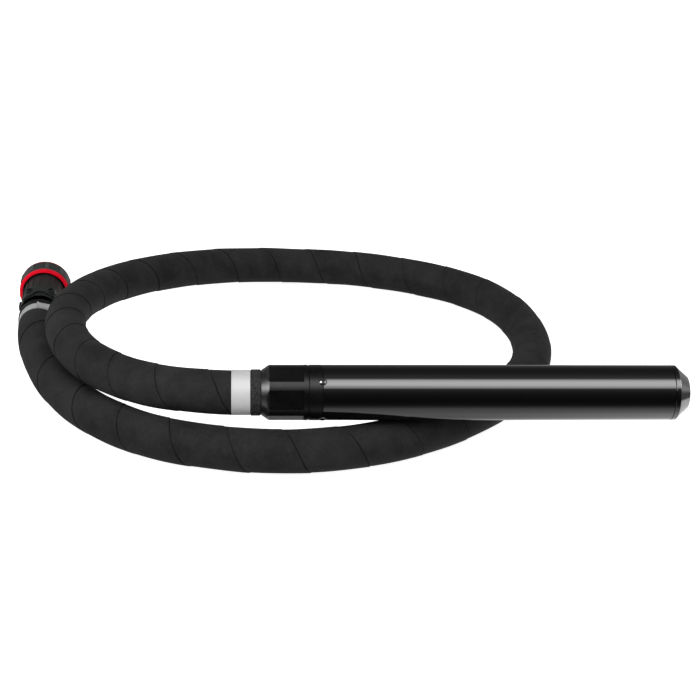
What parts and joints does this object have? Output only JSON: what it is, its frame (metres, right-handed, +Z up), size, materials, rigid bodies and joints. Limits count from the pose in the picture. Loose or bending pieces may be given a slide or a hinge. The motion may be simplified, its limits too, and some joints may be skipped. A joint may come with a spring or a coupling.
{
  "type": "concrete vibrator head with hose",
  "caption": "High-frequency concrete vibrator: a round steel poker head with an internal motor, on a wrapped rubber hose with a twist-lock plug.",
  "frame": {"origin": "middle of the head with its rear cuff and hose band, on the head's axis", "axes": "+X along the head's axis towards the nose, +Z up; the hose lies on the plane z = -0.075 m"},
  "size_m": [0.7408, 0.5659, 0.1035],
  "materials": {
    "head_steel": "gloss black",
    "nose_steel": "gloss black",
    "collar_steel": "satin black",
    "cap_steel": "satin black",
    "stainless": "polished",
    "zinc_steel": "zinc plated",
    "cuff_rubber": "matte, speckled",
    "band_aluminium": "satin",
    "housing_steel": "turned",
    "bearing_steel": "ground",
    "bearing_balls": "polished",
    "cage_brass": "satin",
    "spring_steel": "blued",
    "lamination_steel": "laminated",
    "copper_winding": "varnished copper wire",
    "spacer_aluminium": "turned",
    "seal_rubber": "smooth",
    "thermal_plastic": "moulded",
    "terminal_plastic": "moulded",
    "lead_insulation": "insulated wire",
    "gland_brass": "turned",
    "shaft_steel": "ground",
    "rotor_aluminium": "cast",
    "weight_iron": "machined",
    "hose_rubber": "matte, cloth wrapped",
    "cable_rubber": "matte",
    "clamp_steel": "stainless strip",
    "plug_plastic": "moulded",
    "screw_steel": "black oxide",
    "insert_plastic": "moulded",
    "contact_brass": "plated",
    "nut_plastic": "moulded, ribbed",
    "red_plastic": "moulded",
    "red_rubber": "smooth"
  },
  "bodies": {
    "head": {"head_tube": "head_steel", "nose_cap": "nose_steel", "nose_o_ring": "seal_rubber", "lock_collar": "collar_steel", "rear_cap": "cap_steel", "rear_o_ring": "seal_rubber", "lock_screws": "stainless", "hose_nipple": "zinc_steel", "hose_cuff": "cuff_rubber", "crimp_band": "band_aluminium", "front_bearing_housing": "housing_steel", "front_bearing_outer": "bearing_steel", "front_retaining_ring": "spring_steel", "rear_bearing_housing": "housing_steel", "rear_bearing_outer": "bearing_steel", "preload_washer": "spring_steel", "stator_core": "lamination_steel", "stator_windings": "copper_winding", "rear_spacer": "spacer_aluminium", "front_spacer": "spacer_aluminium", "seal_plate": "housing_steel", "shaft_seal": "seal_rubber", "thermal_switch": "thermal_plastic", "terminal_ring": "terminal_plastic", "lead_wires": "lead_insulation", "cable_grommet": "seal_rubber", "gland_nut": "gland_brass", "hose": "hose_rubber", "power_cable": "cable_rubber", "hose_barb": "zinc_steel", "band_clamp": "clamp_steel", "band_buckle": "clamp_steel", "plug_shell": "plug_plastic", "clamp_saddle": "plug_plastic", "clamp_screws": "screw_steel", "contact_insert": "insert_plastic", "contacts": "contact_brass", "plug_o_ring": "seal_rubber", "nut_snap_ring": "spring_steel"},
    "rotor": {"rotor_shaft": "shaft_steel", "rotor_core": "lamination_steel", "rotor_cage": "rotor_aluminium", "shaft_nut": "spring_steel", "eccentric_weight": "weight_iron", "weight_key": "spring_steel", "front_bearing_inner": "bearing_steel", "rear_bearing_inner": "bearing_steel"},
    "front_cage": {"front_bearing_balls": "bearing_balls", "front_bearing_cage": "cage_brass"},
    "rear_cage": {"rear_bearing_balls": "bearing_balls", "rear_bearing_cage": "cage_brass"},
    "nut": {"coupling_nut": "nut_plastic", "red_ring": "red_plastic", "front_ring": "red_rubber"}
  },
  "joints": [
    {"name": "rotor_spin", "type": "hinge", "parent": "head", "child": "rotor", "pos_m": [0, 0, 0], "axis": [1, 0, 0], "continuous": true},
    {"name": "front_cage_spin", "type": "hinge", "parent": "head", "child": "front_cage", "pos_m": [0.166, 0, 0], "axis": [1, 0, 0], "continuous": true},
    {"name": "rear_cage_spin", "type": "hinge", "parent": "head", "child": "rear_cage", "pos_m": [-0.1045, 0, 0], "axis": [1, 0, 0], "continuous": true},
    {"name": "nut_turn", "type": "hinge", "parent": "head", "child": "nut", "pos_m": [-0.47299, 0.38783, -0.0435], "axis": [-0.0571, 0.9984, 0], "range_deg": [0, 60]}
  ],
  "couplings": [
    {"joint": "front_cage_spin", "follows": "rotor_spin", "ratio": 0.3807},
    {"joint": "rear_cage_spin", "follows": "rotor_spin", "ratio": 0.38}
  ]
}
